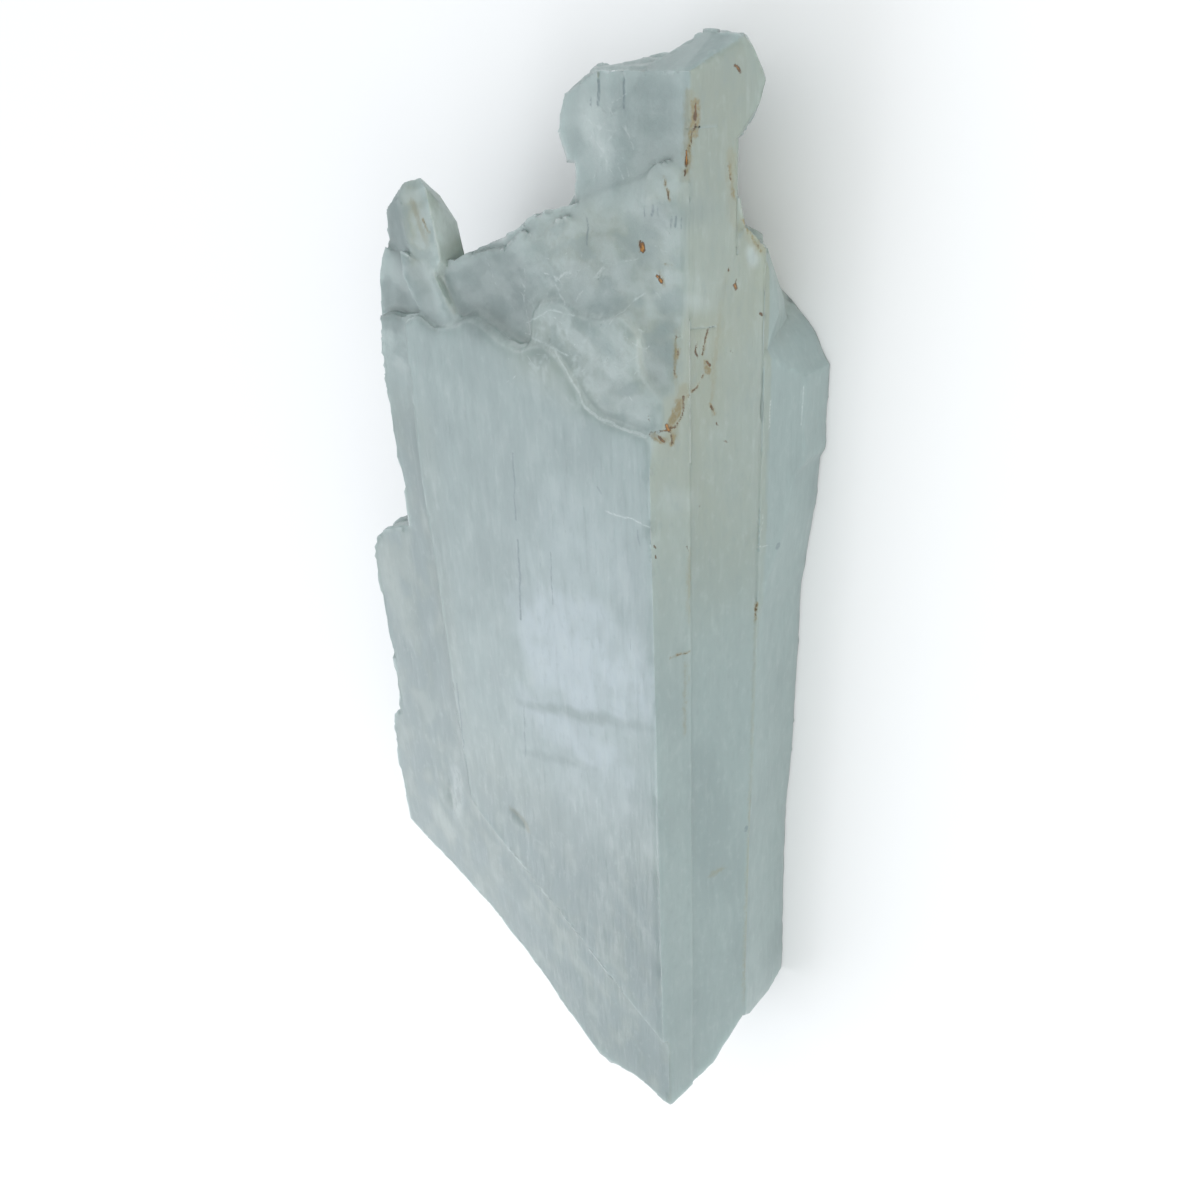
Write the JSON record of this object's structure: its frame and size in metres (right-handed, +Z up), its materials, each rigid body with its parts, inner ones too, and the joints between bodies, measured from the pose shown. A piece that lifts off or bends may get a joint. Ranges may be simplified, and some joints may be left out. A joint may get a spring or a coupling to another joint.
{
  "type": "mineral crystal slab",
  "caption": "Flat-lying selenite crystal slab: broad cleavage face, bevelled prism side, stepped broken top with a blocky tower and a short nub, oblique lower edge.",
  "frame": {"origin": "centre of the bounding box in plan, at the height of the flat back face it rests on", "axes": "+Y along the crystal from its pointed tip to its tower, +X across the broad face towards the bevelled prism side, +Z up out of the broad face"},
  "size_m": [0.1334, 0.3058, 0.044],
  "materials": {
    "selenite": "milky translucent gypsum, satin cleavage faces with a pearly sheen"
  },
  "bodies": {
    "root": {"selenite_slab": "selenite"}
  },
  "joints": []
}
